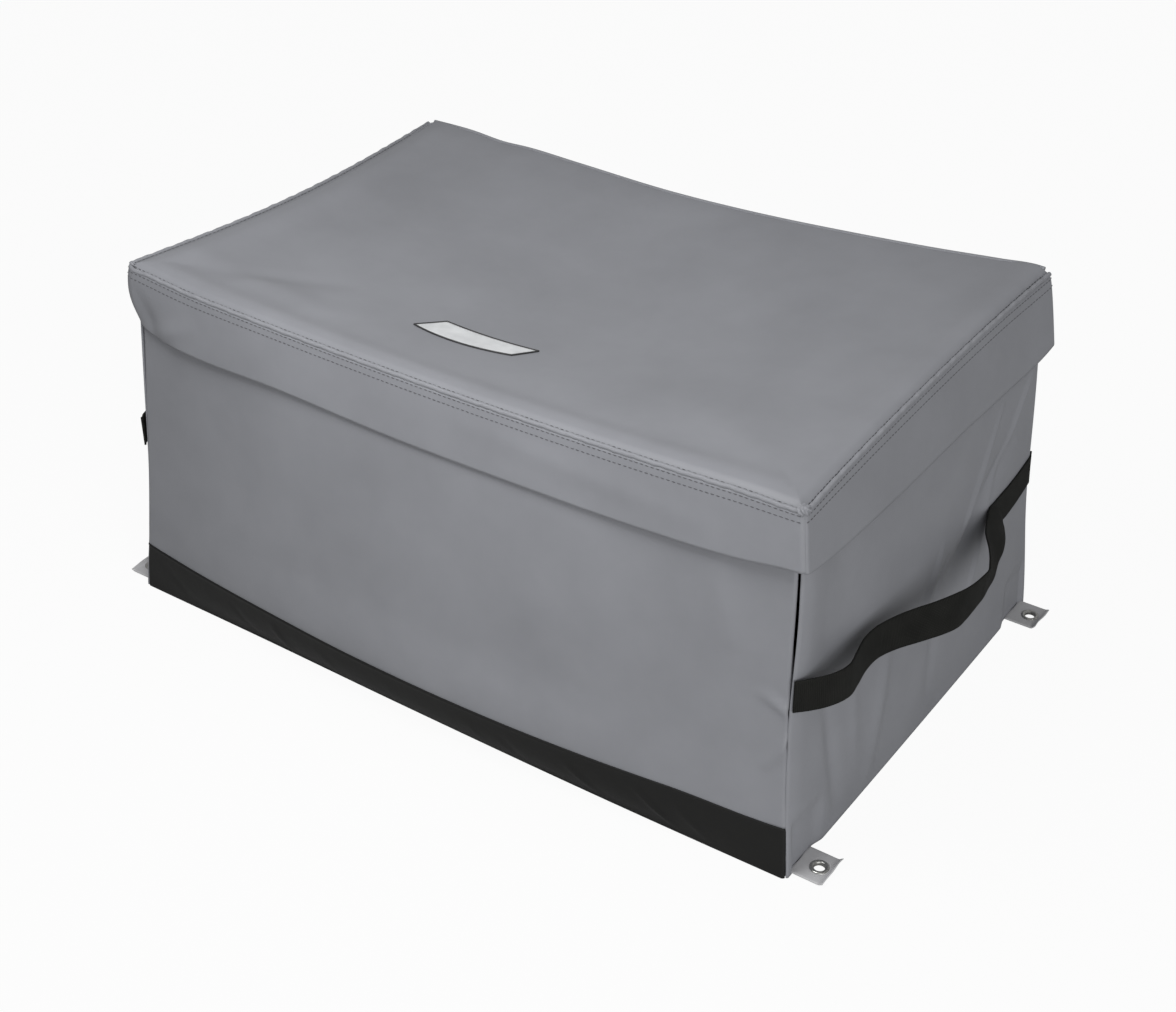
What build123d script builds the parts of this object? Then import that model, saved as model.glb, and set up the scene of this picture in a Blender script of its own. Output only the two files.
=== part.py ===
from build123d import *
import os

# Soft-sided dock box: cloth panels sewn round a light tube frame, with a cap-like
# cloth lid hinged along the back. Origin on the dock under the middle of the box,
# +X to the right, -Y to the front, +Z up. All sizes in millimetres.

# The whole box
base_length = 914
base_width = 588
lid_height = 442
top_inset = 24
front_lid_inset = 16
end_lid_inset = 16

# Cloth and seams
cloth = 2
seam_gap = 0.3
layer_gap = 0.1
overrun = 60

# Bulge of the filled walls: shares of the wall height and of the bulge
front_bulge = 39
end_bulge = 10
front_bulge_shares = ((0, 0.3), (0.14, 0.98), (0.35, 0.88), (0.6, 0.66), (0.81, 0.4), (1, 0.1))
end_bulge_shares = ((0, 0.1), (0.14, 0.6), (0.35, 1), (0.6, 0.6), (0.81, 0.1), (1, -0.8))
strip_height = 60
corner_welt_radius = 4

# Sagging lid: its piping is highest at the front corners
lid_welt_radius = 3.5
lid_knot_radius = 3.7
piping_runs = 8
hinge_drop = 4
front_sag = 13
end_sag = 8
middle_sag = 30
front_edge_bow = 2
end_edge_bow = 14
lid_clearance = 0.6

# Skirts that hang from the lid
skirt_depth = 72
skirt_hem_sag = 12
front_flare = 8
end_flare = 11
front_hem_bow = 12
end_hem_bow = -2
skirt_fall = 110

# Hook and loop tapes between the skirts and the walls
tape_width = 20
tape_thickness = 1
tape_drop = 42
tape_run_share = 0.8

# Label patch sewn on the lid
label_length = 122
label_width = 36
label_skew = 18
label_curve = 7
label_back_curve = 3.5
label_thickness = 0.8
label_x = -48
label_y = -138

# Tube frame and the base board
tube_radius = 11
tube_wall = 1.5
tube_fit = 0.1
board_thickness = 6
board_gap = 1
board_corner_radius = 14
frame_gap = 1
rail_gap = 0.6

# Moulded corner blocks and foot sockets
block_half = 20
block_below = 20
block_fillet = 5
socket_wall = 3.2
socket_stop = 3
socket_length = 24
mouth_chamfer = 0.8
foot_half = 34
foot_thickness = 5
foot_corner_radius = 9
foot_socket_height = 40
gusset_thickness = 3.5
gusset_height = 26
gusset_reach = 15
screw_inset = 9
screw_radius = 2.2
screw_head_radius = 4.2
screw_head_height = 2.4
screw_grip = 5
screw_round_share = 0.7

# Webbing handles: shares of half the wall's run and of the standoff
webbing_width = 38
webbing_thickness = 2
handle_height = 208
handle_standoff = 75
handle_run_shares = (-1, -0.79, -0.556, 0.088, 0.65, 1)
handle_standoff_shares = (0, 0.32, 0.01, 1, 0.01, 0)
handle_bend_shares = (0.21, 0.31, 0.62, 0.14)
grip_start_share = -0.32
grip_end_share = 0.44

# Tie-down tabs and their grommets
tab_width = 45
tab_length = 40
tab_thickness = 2.4
tab_corner_radius = 3
tab_hole_share = 0.6
grommet_bore_radius = 6.15
grommet_barrel = 0.8
grommet_flange_radius = 10.8
grommet_flange = 1.1
grommet_fit = 0.05

# Places worked out from the sizes above
half_length = base_length / 2
half_width = base_width / 2
welt_height = lid_height - lid_welt_radius
hinge_height = welt_height - hinge_drop
lid_half_length = half_length - end_lid_inset
lid_half_width = half_width - front_lid_inset
lid_margin = lid_welt_radius + seam_gap
wall_height = welt_height - cloth / 2 - lid_clearance
welt_place = cloth / 2
panel_margin = welt_place + corner_welt_radius + seam_gap
frame_inset = top_inset + cloth + frame_gap + block_half
post_x = half_length - frame_inset
post_y = half_width - frame_inset
board_top = cloth + board_thickness
socket_radius = tube_radius + tube_fit + socket_wall
stop_place = tube_radius + tube_fit + socket_stop


def between(share, first, last):
    return first + (last - first) * share


def share_at(table, place):
    """Read a table of (place, share) pairs, straight between its rows."""
    for (low, low_share), (high, high_share) in zip(table, table[1:]):
        if place <= high:
            return between((place - low) / (high - low), low_share, high_share)
    return table[-1][1]


def inset_at(height):
    return top_inset * height / wall_height


def lid_surface(x, y):
    """Height of the middle of the lid cloth above a place on the dock."""
    along = 1 - (x / lid_half_length) ** 2
    front = welt_height - front_sag * along
    chord = between((y + lid_half_width) / (2 * lid_half_width), front, hinge_height)
    sag = between(along, end_sag, middle_sag)
    return chord - sag * (1 - (y / lid_half_width) ** 2)


def under_lid(x, y):
    return lid_surface(x, y) - cloth / 2 - lid_clearance


def under_welt(x, y):
    return lid_surface(x, y) - lid_margin - lid_clearance


rail_height = under_lid(0, -post_y) - rail_gap - tube_radius
block_top = min(under_lid(post_x - block_half, y) for y in (block_half - post_y, post_y - block_half))


def turned(side, solid):
    """Turn a piece made facing the front so that it faces another side."""
    return Rot(0, 0, {"front": 0, "right": 90, "back": 180, "left": -90}[side]) * solid


def curve(first, middle, last):
    """An arc through three points, or a line where they lie in a row."""
    start, via, end = Vector(first), Vector(middle), Vector(last)
    if (via - start).cross(end - start).length < seam_gap * seam_gap:
        return Line(start, end)
    return ThreePointArc(start, via, end)


def loop_face(corners, middles):
    """A flat face round its corners, whose sides bend through the middles."""
    sides = []
    for place, middle in enumerate(middles):
        start = corners[place]
        end = corners[(place + 1) % len(corners)]
        sides.append(Line(start, end) if middle is None else curve(start, middle, end))
    return make_face(sides)


def band(half_run, reach, bow, thickness, height):
    """Level cut through a sheet that faces the front and bows outward."""
    inner = thickness - reach
    return loop_face(
        [(-half_run, -reach, height), (half_run, -reach, height),
         (half_run, inner, height), (-half_run, inner, height)],
        [(0, -reach - bow, height), None, (0, inner - bow, height), None],
    )


def edge_tool(half_run, upper, lower):
    """Block that keeps a sheet between two sagging edges: left, middle and right heights."""
    far = half_run + overrun
    outline = loop_face(
        [(-far, 0, upper[0]), (-half_run, 0, upper[0]), (half_run, 0, upper[2]), (far, 0, upper[2]),
         (far, 0, lower[2]), (half_run, 0, lower[2]), (-half_run, 0, lower[0]), (-far, 0, lower[0])],
        [None, (0, 0, upper[1]), None, None, None, (0, 0, lower[1]), None, None],
    )
    return extrude(outline, amount=base_length, dir=(0, -1, 0))


def level(height):
    return (height, height, height)


def wall_sheet(half_run, reach, bulge, shares, thickness, lift=0):
    """The whole wall cloth, or a tape that lies on it when lifted off it."""
    sections = []
    for height_share, bulge_share in shares:
        inset = top_inset * height_share
        place = wall_height * height_share
        run = half_run - inset - panel_margin
        sections.append(band(run, reach - inset + lift, bulge * bulge_share, thickness, place))
    return loft(sections)


def front_sheet(thickness=cloth, lift=0):
    return wall_sheet(half_length, half_width, front_bulge, front_bulge_shares, thickness, lift)


def end_sheet(thickness=cloth, lift=0):
    return wall_sheet(half_width, half_length, end_bulge, end_bulge_shares, thickness, lift)


def front_wall_top():
    reach = half_width - top_inset
    ends = under_welt(half_length - top_inset, -reach)
    return (ends, under_welt(0, -reach - front_bulge * front_bulge_shares[-1][1]), ends)


def end_wall_top():
    reach = half_length - top_inset
    middle = under_welt(reach + end_bulge * end_bulge_shares[-1][1], 0)
    return (under_welt(reach, top_inset - half_width), middle, under_welt(reach, half_width - top_inset))


def back_wall_top():
    reach = half_width - top_inset
    return level(under_welt(half_length - top_inset, reach))


def front_wall():
    return front_sheet() & edge_tool(half_length, front_wall_top(), level(strip_height))


def back_wall():
    return turned("back", front_sheet() & edge_tool(half_length, back_wall_top(), level(strip_height)))


def base_strip(side):
    keep = edge_tool(half_length, level(strip_height - seam_gap), level(0))
    return turned(side, front_sheet() & keep)


def right_wall():
    return turned("right", end_sheet() & edge_tool(half_width, end_wall_top(), level(0)))


def corner_welt(x_side, y_side):
    """Piping sewn up the corner seam, leaning in with the walls."""
    foot = Pos(x_side * (half_length - welt_place), y_side * (half_width - welt_place), 0)
    top = under_welt(half_length - top_inset, half_width - top_inset)
    lean = Vector(-x_side * inset_at(top), -y_side * inset_at(top), top)
    return extrude(foot * Circle(corner_welt_radius), amount=lean.length, dir=lean.normalized())


def base_outline(margin, bow):
    x = half_length - margin
    y = half_width - margin
    return loop_face(
        [(-x, -y, 0), (x, -y, 0), (x, y, 0), (-x, y, 0)],
        [(0, -y - bow, 0), None, (0, y + bow, 0), None],
    )


def floor_panel():
    """Cloth floor, cut back round the foot of each corner welt."""
    bow = front_bulge * front_bulge_shares[0][1] - seam_gap
    floor = extrude(base_outline(cloth + seam_gap, bow), amount=cloth)
    clear = corner_welt_radius + seam_gap
    for x_side in (-1, 1):
        for y_side in (-1, 1):
            foot = Pos(x_side * (half_length - welt_place), y_side * (half_width - welt_place), 0)
            floor -= foot * Cylinder(clear, overrun)
    return floor


def screw_places():
    reach = foot_half - screw_inset
    for x_side in (-1, 1):
        for y_side in (-1, 1):
            for x_turn in (-1, 1):
                for y_turn in (-1, 1):
                    yield x_side * post_x + x_turn * reach, y_side * post_y + y_turn * reach


def base_board():
    half_x = half_length - cloth - board_gap
    half_y = half_width - cloth - board_gap
    board = extrude(Pos(0, 0, cloth) * RectangleRounded(2 * half_x, 2 * half_y, board_corner_radius),
                    amount=board_thickness)
    top = Plane.XY.offset(board_top)
    holes = [Pos(x, y) * Circle(screw_radius + tube_fit) for x, y in screw_places()]
    return board - extrude(top * Sketch(children=holes), amount=-screw_grip - tube_fit)


def tube(start, end):
    """Straight frame tube, open from end to end."""
    axis = Vector(end) - Vector(start)
    ring = Circle(tube_radius) - Circle(tube_radius - tube_wall)
    return extrude(Plane(origin=start, z_dir=axis) * ring, amount=axis.length)


def rail_along_x(y_side):
    reach = post_x - stop_place
    return tube((-reach, y_side * post_y, rail_height), (reach, y_side * post_y, rail_height))


def rail_along_y(x_side):
    reach = post_y - stop_place
    return tube((x_side * post_x, -reach, rail_height), (x_side * post_x, reach, rail_height))


def post(x_side, y_side):
    x, y = x_side * post_x, y_side * post_y
    return tube((x, y, board_top + foot_thickness), (x, y, rail_height - stop_place))


def socket_cutter(length):
    """Bore for a tube end with an eased mouth, opening along +Z at the given length."""
    bore_radius = tube_radius + tube_fit
    bore = extrude(Pos(0, 0, stop_place) * Circle(bore_radius), amount=length - stop_place)
    mouth = Pos(0, 0, length) * Cone(bore_radius, bore_radius + mouth_chamfer, mouth_chamfer,
                                     align=(Align.CENTER, Align.CENTER, Align.MAX))
    return bore + mouth


def corner_block(x_side, y_side):
    """Three-way moulded corner: rails to the left and back, post below, mirrored into place."""
    top = block_top - rail_height
    core_height = top + block_below
    core = Pos(0, 0, (top - block_below) / 2) * Box(2 * block_half, 2 * block_half, core_height)
    core = fillet(core.edges(), block_fillet)
    mouth = block_half + socket_length
    collar = extrude(Circle(socket_radius), amount=mouth)
    cutter = socket_cutter(mouth)
    for turn in (Rot(0, -90, 0), Rot(-90, 0, 0), Rot(180, 0, 0)):
        core += turn * collar
    for turn in (Rot(0, -90, 0), Rot(-90, 0, 0), Rot(180, 0, 0)):
        core -= turn * cutter
    block = core
    if x_side < 0:
        block = mirror(block, about=Plane.YZ)
    if y_side > 0:
        block = mirror(block, about=Plane.XZ)
    return Pos(x_side * post_x, y_side * post_y, rail_height) * block


def foot_socket(x_side, y_side):
    """Flanged floor socket with four gussets, screwed to the base board."""
    flange = extrude(RectangleRounded(2 * foot_half, 2 * foot_half, foot_corner_radius), amount=foot_thickness)
    socket = flange + extrude(Circle(socket_radius), amount=foot_socket_height)
    root = tube_radius + tube_fit
    gusset = make_face(Polyline(
        (root, foot_thickness), (socket_radius + gusset_reach, foot_thickness),
        (socket_radius, foot_thickness + gusset_height), (root, foot_thickness + gusset_height), close=True))
    rib = extrude(Plane.XZ * gusset, amount=gusset_thickness / 2, both=True)
    for quarter in range(4):
        socket += Rot(0, 0, 90 * quarter) * rib
    bore_radius = tube_radius + tube_fit
    socket -= extrude(Pos(0, 0, foot_thickness) * Circle(bore_radius), amount=foot_socket_height)
    socket -= Pos(0, 0, foot_socket_height) * Cone(bore_radius, bore_radius + mouth_chamfer, mouth_chamfer,
                                                   align=(Align.CENTER, Align.CENTER, Align.MAX))
    reach = foot_half - screw_inset
    for x_turn in (-1, 1):
        for y_turn in (-1, 1):
            socket -= Pos(x_turn * reach, y_turn * reach) * Cylinder(screw_radius + tube_fit, overrun)
    return Pos(x_side * post_x, y_side * post_y, board_top) * socket


def socket_screws():
    """Round-headed screws through the foot sockets into the board."""
    shank = extrude(Circle(screw_radius), amount=-foot_thickness - screw_grip)
    head = extrude(Circle(screw_head_radius), amount=screw_head_height)
    screw = fillet(head.edges().group_by(Axis.Z)[-1], screw_head_height * screw_round_share) + shank
    seat = board_top + foot_thickness
    return Compound([(Pos(x, y, seat) * screw).solid() for x, y in screw_places()])


def lid_sheet(lift, thickness):
    """The lid's sagging cloth, or a layer of another thickness lifted off its middle."""
    sections = []
    for share in (-1, 0, 1):
        x = share * lid_half_length
        edges = [lid_surface(x, y) + lift for y in (-lid_half_width, 0, lid_half_width)]
        low, high = -thickness / 2, thickness / 2
        sections.append(loop_face(
            [(x, -lid_half_width, edges[0] + high), (x, lid_half_width, edges[2] + high),
             (x, lid_half_width, edges[2] + low), (x, -lid_half_width, edges[0] + low)],
            [(x, 0, edges[1] + high), None, (x, 0, edges[1] + low), None],
        ))
    return loft(sections)


def lid_top():
    """Lid cloth trimmed to the line of its piping, which draws in along each side."""
    x = lid_half_length - lid_margin - seam_gap
    y = lid_half_width - lid_margin - seam_gap
    outline = loop_face(
        [(-x, -y, 0), (x, -y, 0), (x, y, 0), (-x, y, 0)],
        [(0, front_edge_bow - y, 0), (x - end_edge_bow, 0, 0), None, (end_edge_bow - x, 0, 0)],
    )
    return lid_sheet(0, cloth) & extrude(outline, amount=lid_height + overrun)


def label_patch():
    half, depth = label_length / 2, label_width / 2
    skew = label_skew / 2
    outline = Pos(label_x, label_y) * loop_face(
        [(-half - skew, -depth, 0), (half - skew, -depth, 0), (half + skew, depth, 0), (skew - half, depth, 0)],
        [(-skew, -depth - label_curve, 0), None, (skew, depth - label_back_curve, 0), None],
    )
    layer = lid_sheet(cloth / 2 + label_thickness / 2 + layer_gap, label_thickness)
    return layer & extrude(outline, amount=lid_height + overrun)


def piping(path, radius, start=0, end=1):
    """Piping between two shares of a curve, in short straight runs."""
    places = [between(step / piping_runs, start, end) for step in range(piping_runs + 1)]
    rings = [Plane(origin=path @ place, z_dir=path % place) * Circle(radius) for place in places]
    return loft(rings, ruled=True)


def front_edge():
    y = front_edge_bow - lid_half_width
    return curve((-lid_half_length, -lid_half_width, welt_height), (0, y, lid_surface(0, y)),
                 (lid_half_length, -lid_half_width, welt_height))


def end_edge():
    x = lid_half_length - end_edge_bow
    return curve((lid_half_length, -lid_half_width, welt_height), (x, 0, lid_surface(x, 0)),
                 (lid_half_length, lid_half_width, hinge_height))


def lid_welt():
    """Piping along the front and both ends of the lid, knotted at the front corners."""
    front_cut = (lid_knot_radius + seam_gap) / front_edge().length
    hinge_cut = (lid_margin + seam_gap) / end_edge().length
    front = piping(front_edge(), lid_welt_radius, front_cut, 1 - front_cut)
    end = piping(end_edge(), lid_welt_radius, 0, 1 - hinge_cut)
    end += Pos(lid_half_length, -lid_half_width, welt_height) * Sphere(lid_knot_radius)
    return Compound([front.solid(), end.solid(), mirror(end, about=Plane.YZ).solid()])


def hinge_welt():
    start = Plane(origin=(-lid_half_length - lid_welt_radius, lid_half_width, hinge_height), z_dir=(1, 0, 0))
    return extrude(start * Circle(lid_welt_radius), amount=2 * (lid_half_length + lid_welt_radius))


def skirt_sheet(run, run_flare, reach, flare, bows, thickness):
    """Sheet hanging from the lid's edge and flaring outward, from its top to below its hem."""
    top = band(run, reach, bows[0], thickness, lid_height)
    low = band(run + run_flare, reach + flare, bows[1], thickness, lid_height - skirt_fall)
    return loft([top, low], ruled=True)


def front_skirt_sheet(thickness=cloth, sink=0):
    run = lid_half_length + cloth / 2
    reach = lid_half_width + cloth / 2 - sink
    return skirt_sheet(run, end_flare, reach, front_flare, (-front_edge_bow, front_hem_bow), thickness)


def end_skirt_sheet(thickness=cloth, sink=0):
    run = lid_half_width - cloth / 2 - seam_gap
    reach = lid_half_length + cloth / 2 - sink
    return skirt_sheet(run, front_flare, reach, end_flare, (-end_edge_bow, end_hem_bow), thickness)


def front_skirt():
    middle = (front_edge() @ 0.5).Z
    upper = (welt_height - lid_margin, middle - lid_margin, welt_height - lid_margin)
    corner = welt_height - skirt_depth
    return front_skirt_sheet() & edge_tool(lid_half_length, upper, (corner, corner - skirt_hem_sag, corner))


def right_skirt():
    middle = (end_edge() @ 0.5).Z
    upper = (welt_height - lid_margin, middle - lid_margin, hinge_height - lid_margin)
    low = (welt_height - skirt_depth, welt_height - skirt_depth - skirt_hem_sag, hinge_height - skirt_depth)
    return turned("right", end_skirt_sheet() & edge_tool(lid_half_width, upper, low))


def back_band():
    """Cloth band that joins the hinge welt to the back wall, lying on the wall at its hem."""
    hem = lid_height - skirt_fall
    run = lid_half_length - cloth / 2 - seam_gap
    hem_run = half_length - inset_at(hem) - panel_margin - 2 * corner_welt_radius
    top = band(run, lid_half_width + cloth / 2, seam_gap, cloth, lid_height)
    bow = front_bulge * share_at(front_bulge_shares, hem / wall_height)
    low = band(hem_run, half_width - inset_at(hem) + seam_gap + cloth, bow, cloth, hem)
    upper = level(hinge_height - lid_margin)
    keep = edge_tool(lid_half_length, upper, level(hinge_height - skirt_depth))
    return turned("back", loft([top, low], ruled=True) & keep)


def tape_tool(half_run):
    """Slab that cuts a tape's width and length out of a sheet."""
    top = welt_height - tape_drop - front_sag
    return Pos(0, -half_length, top - tape_width / 2) * Box(
        2 * half_run * tape_run_share, base_length, tape_width)


def front_loop_tape():
    return front_sheet(tape_thickness, layer_gap + tape_thickness) & tape_tool(lid_half_length)


def right_loop_tape():
    layer = end_sheet(tape_thickness, layer_gap + tape_thickness)
    return turned("right", layer & tape_tool(lid_half_width))


def front_hook_tape():
    return front_skirt_sheet(tape_thickness, cloth + layer_gap) & tape_tool(lid_half_length)


def right_hook_tape():
    layer = end_skirt_sheet(tape_thickness, cloth + layer_gap)
    return turned("right", layer & tape_tool(lid_half_width))


def end_wall_out(y, height):
    """How far the right wall's cloth stands out at a place along it."""
    run = half_width - inset_at(height) - panel_margin
    bow = end_bulge * share_at(end_bulge_shares, height / wall_height)
    return half_length - inset_at(height) + bow * (1 - (y / run) ** 2)


def handle_route(offset):
    """Plan of the webbing's middle, or of one face, as a smooth line from front to back."""
    low = handle_height - webbing_width / 2
    run = half_width - inset_at(low) - panel_margin
    middle = []
    for run_share, standoff_share in zip(handle_run_shares, handle_standoff_shares):
        y = run * run_share
        out = end_wall_out(y, low) + seam_gap + webbing_thickness / 2
        middle.append(Vector(out + handle_standoff * standoff_share, y))
    corners = []
    for place, point in enumerate(middle):
        before = middle[max(place - 1, 0)]
        after = middle[min(place + 1, len(middle) - 1)]
        into = (point - before if place else after - point).normalized()
        out_of = (after - point if place < len(middle) - 1 else into).normalized()
        normal = Vector(into.Y + out_of.Y, -into.X - out_of.X).normalized()
        corners.append(point + normal * (offset / normal.dot(Vector(into.Y, -into.X))))
    radii = []
    for place, share in enumerate(handle_bend_shares, 1):
        turn = (middle[place] - middle[place - 1]).cross(middle[place + 1] - middle[place]).Z
        radii.append(run * share + (offset if turn > 0 else -offset))
    return FilletPolyline(*corners, radius=radii)


def webbing():
    """The whole strap of one end, cut to the webbing's width."""
    outer = handle_route(webbing_thickness / 2)
    inner = handle_route(-webbing_thickness / 2)
    ends = [Line(outer @ 0, inner @ 0), Line(outer @ 1, inner @ 1)]
    face = make_face([*outer.edges(), *inner.edges(), *ends])
    return extrude(Pos(0, 0, handle_height - webbing_width / 2) * face, amount=webbing_width)


def handle_piece(start, end):
    """Stretch of the right-hand strap between two places along the wall."""
    slab = Pos(half_length, (start + end) / 2, handle_height) * Box(base_width, end - start, 2 * webbing_width)
    return webbing() & slab


def handle_pieces():
    run = half_width - inset_at(handle_height) - panel_margin
    start, end = run * grip_start_share, run * grip_end_share
    return {
        "handle_front_end": handle_piece(-half_width, start - seam_gap),
        "handle_grip": handle_piece(start, end),
        "handle_back_end": handle_piece(end + seam_gap, half_width),
    }


def grommet():
    """Eyelet and washer set through a tab, made about its own bore."""
    inner = grommet_bore_radius
    barrel = inner + grommet_barrel
    outer = grommet_flange_radius
    low_seat = grommet_flange
    high_seat = low_seat + tab_thickness + 2 * grommet_fit
    top = high_seat + grommet_flange
    profile = make_face([
        Line((inner, 0), (outer, 0)),
        Line((outer, 0), (outer, low_seat)),
        Line((outer, low_seat), (barrel, low_seat)),
        Line((barrel, low_seat), (barrel, high_seat)),
        Line((barrel, high_seat), (outer, high_seat)),
        curve((outer, high_seat), ((outer + inner) / 2 + grommet_barrel, top), (inner, high_seat)),
        Line((inner, high_seat), (inner, 0)),
    ])
    return revolve(Plane.XZ * profile, Axis.Z)


def hole_place():
    return half_length + seam_gap + tab_length * tab_hole_share, half_width - panel_margin - tab_width / 2


def tie_down_tab():
    """Folded cloth tab at the back right corner, flat on the dock."""
    x, y = hole_place()
    outline = Pos(half_length + seam_gap + tab_length / 2, y) * Rectangle(tab_length, tab_width)
    outline = fillet(outline.vertices().group_by(Axis.X)[-1], tab_corner_radius)
    outline -= Pos(x, y) * Circle(grommet_bore_radius + grommet_barrel + grommet_fit)
    return extrude(Pos(0, 0, grommet_flange + grommet_fit) * outline, amount=tab_thickness)


def mirrored(x_side, y_side, solid):
    if x_side < 0:
        solid = mirror(solid, about=Plane.YZ)
    if y_side < 0:
        solid = mirror(solid, about=Plane.XZ)
    return solid


def all_nodes():
    """Every piece of the box, by its node's name."""
    nodes = {
        "floor_panel": floor_panel(),
        "base_board": base_board(),
        "front_wall": front_wall(),
        "back_wall": back_wall(),
        "front_base_strip": base_strip("front"),
        "back_base_strip": base_strip("back"),
        "hinge_welt": hinge_welt(),
        "back_band": back_band(),
        "front_loop_tape": front_loop_tape(),
        "front_rail": rail_along_x(-1),
        "back_rail": rail_along_x(1),
        "left_rail": rail_along_y(-1),
        "right_rail": rail_along_y(1),
        "socket_screws": socket_screws(),
        "lid_top": lid_top(),
        "lid_welt": lid_welt(),
        "front_skirt": front_skirt(),
        "front_hook_tape": front_hook_tape(),
        "label_patch": label_patch(),
    }
    pairs = {
        "wall": right_wall(),
        "loop_tape": right_loop_tape(),
        "skirt": right_skirt(),
        "hook_tape": right_hook_tape(),
        **handle_pieces(),
    }
    for name, solid in pairs.items():
        nodes["right_" + name] = solid
        nodes["left_" + name] = mirrored(-1, 1, solid)
    tab = tie_down_tab()
    eyelet = Pos(*hole_place(), 0) * grommet()
    for y_name, y_side in (("front", -1), ("back", 1)):
        for x_name, x_side in (("left", -1), ("right", 1)):
            corner = f"{y_name}_{x_name}_"
            nodes[corner + "welt"] = corner_welt(x_side, y_side)
            nodes[corner + "post"] = post(x_side, y_side)
            nodes[corner + "block"] = corner_block(x_side, y_side)
            nodes[corner + "foot_socket"] = foot_socket(x_side, y_side)
            nodes[corner + "tab"] = mirrored(x_side, y_side, tab)
            nodes[corner + "grommet"] = mirrored(x_side, y_side, eyelet)
    return nodes


os.makedirs("parts", exist_ok=True)
for name, solid in all_nodes().items():
    export_step(solid, f"parts/{name}.step")
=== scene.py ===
# Looks of the soft-sided dock box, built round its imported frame, in metres.
# +X is the right-hand end, -Y the front and +Z up; the dock is at height 0.
import math

import bmesh
import bpy
import numpy as np
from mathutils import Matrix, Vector


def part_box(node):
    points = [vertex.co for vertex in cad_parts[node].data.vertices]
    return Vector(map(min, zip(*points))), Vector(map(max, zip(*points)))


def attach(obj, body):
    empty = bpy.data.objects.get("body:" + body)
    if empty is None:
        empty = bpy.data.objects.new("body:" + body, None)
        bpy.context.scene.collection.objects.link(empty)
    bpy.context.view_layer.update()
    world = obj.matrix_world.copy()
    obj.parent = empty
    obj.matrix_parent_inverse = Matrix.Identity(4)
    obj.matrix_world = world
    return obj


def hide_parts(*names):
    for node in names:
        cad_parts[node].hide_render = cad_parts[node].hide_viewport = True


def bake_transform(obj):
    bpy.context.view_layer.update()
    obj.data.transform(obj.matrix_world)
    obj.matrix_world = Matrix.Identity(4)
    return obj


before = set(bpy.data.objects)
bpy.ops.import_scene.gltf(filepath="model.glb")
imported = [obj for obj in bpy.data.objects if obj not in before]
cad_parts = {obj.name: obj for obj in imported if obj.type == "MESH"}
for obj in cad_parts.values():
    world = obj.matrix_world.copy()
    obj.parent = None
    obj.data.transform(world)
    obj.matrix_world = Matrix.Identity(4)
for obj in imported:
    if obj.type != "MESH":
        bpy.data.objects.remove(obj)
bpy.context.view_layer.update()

# Base board of the box: exterior plywood, sealed with dull varnish, laid loose
# on the cloth floor. The foot sockets of the tube frame are screwed to it.


def new_finish(name, roughness=0.5, metallic=0.0, gloss=0.5):
    """A node material, and its shader with its plain settings."""
    material = bpy.data.materials.new(name)
    material.use_nodes = True
    shader = material.node_tree.nodes["Principled BSDF"]
    shader.inputs["Roughness"].default_value = roughness
    shader.inputs["Metallic"].default_value = metallic
    shader.inputs["Specular IOR Level"].default_value = gloss
    return material, shader


def add_node(holder, kind, **settings):
    """A node in a tree, or in what has one, with its inputs by name (spaces as underscores) and settings."""
    node = getattr(holder, "node_tree", holder).nodes.new(kind)
    for key, value in settings.items():
        place = key.replace("_", " ")
        if place in node.inputs:
            node.inputs[place].default_value = value
        else:
            setattr(node, key, value)
    return node


def wire(holder, *ends):
    """Link outputs to inputs, given in turn, each as a node and its socket."""
    for (source, output), (target, socket) in zip(ends[::2], ends[1::2]):
        getattr(holder, "node_tree", holder).links.new(source.outputs[output], target.inputs[socket])


def tone(material, source, dark, light, low=0.3, high=0.7):
    """Colour of a pattern, from its dark to its light places."""
    ramp = add_node(material, "ShaderNodeValToRGB")
    ramp.color_ramp.elements[0].position = low
    ramp.color_ramp.elements[0].color = (*dark, 1)
    ramp.color_ramp.elements[1].position = high
    ramp.color_ramp.elements[1].color = (*light, 1)
    wire(material, source, (ramp, "Fac"))
    return ramp, "Color"


def relief(material, shader, source, depth, strength=1.0):
    """Raise a pattern on the surface, on top of any relief already there."""
    bump = add_node(material, "ShaderNodeBump", Strength=strength, Distance=depth)
    old = shader.inputs["Normal"].links
    if old:
        wire(material, (old[0].from_node, old[0].from_socket.name), (bump, "Normal"))
    wire(material, source, (bump, "Height"), (bump, "Normal"), (shader, "Normal"))


def pattern(finish, kind, space, stretch=(1, 1, 1), **settings):
    """A texture over a piece by its place or its flat map, squeezed by stretch across the grain."""
    texture = add_node(finish, f"ShaderNodeTex{kind}", **settings)
    grain = add_node(finish, "ShaderNodeMapping", Scale=stretch)
    coords = add_node(finish, "ShaderNodeTexCoord")
    wire(finish, (coords, space), (grain, "Vector"), (grain, "Vector"), (texture, "Vector"))
    return texture


def flecked(name, scale, dark, light, detail=2.0, stretch=(1, 1, 1), distortion=0.0, bump=None, **settings):
    """A finish whose colour follows noise over the piece, and its shader."""
    finish, shader = new_finish(name, **settings)
    noise = pattern(finish, "Noise", "Object", stretch, Scale=scale, Detail=detail, Distortion=distortion)
    wire(finish, tone(finish, (noise, "Fac"), dark, light), (shader, "Base Color"))
    if bump:
        relief(finish, shader, (noise, "Fac"), *bump)
    return finish, shader


def dress(names, material):
    """Give carried-over solids their finish."""
    for name in names:
        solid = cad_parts[name]
        solid.data.materials.clear()
        solid.data.materials.append(material)


dress(["base_board"], flecked("varnished_plywood", 3.0, (0.23, 0.13, 0.06), (0.47, 0.31, 0.17), detail=6.0,
                              stretch=(2.2, 26, 26), distortion=1.2, bump=(0.0004, 0.4), roughness=0.55)[0])

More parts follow.
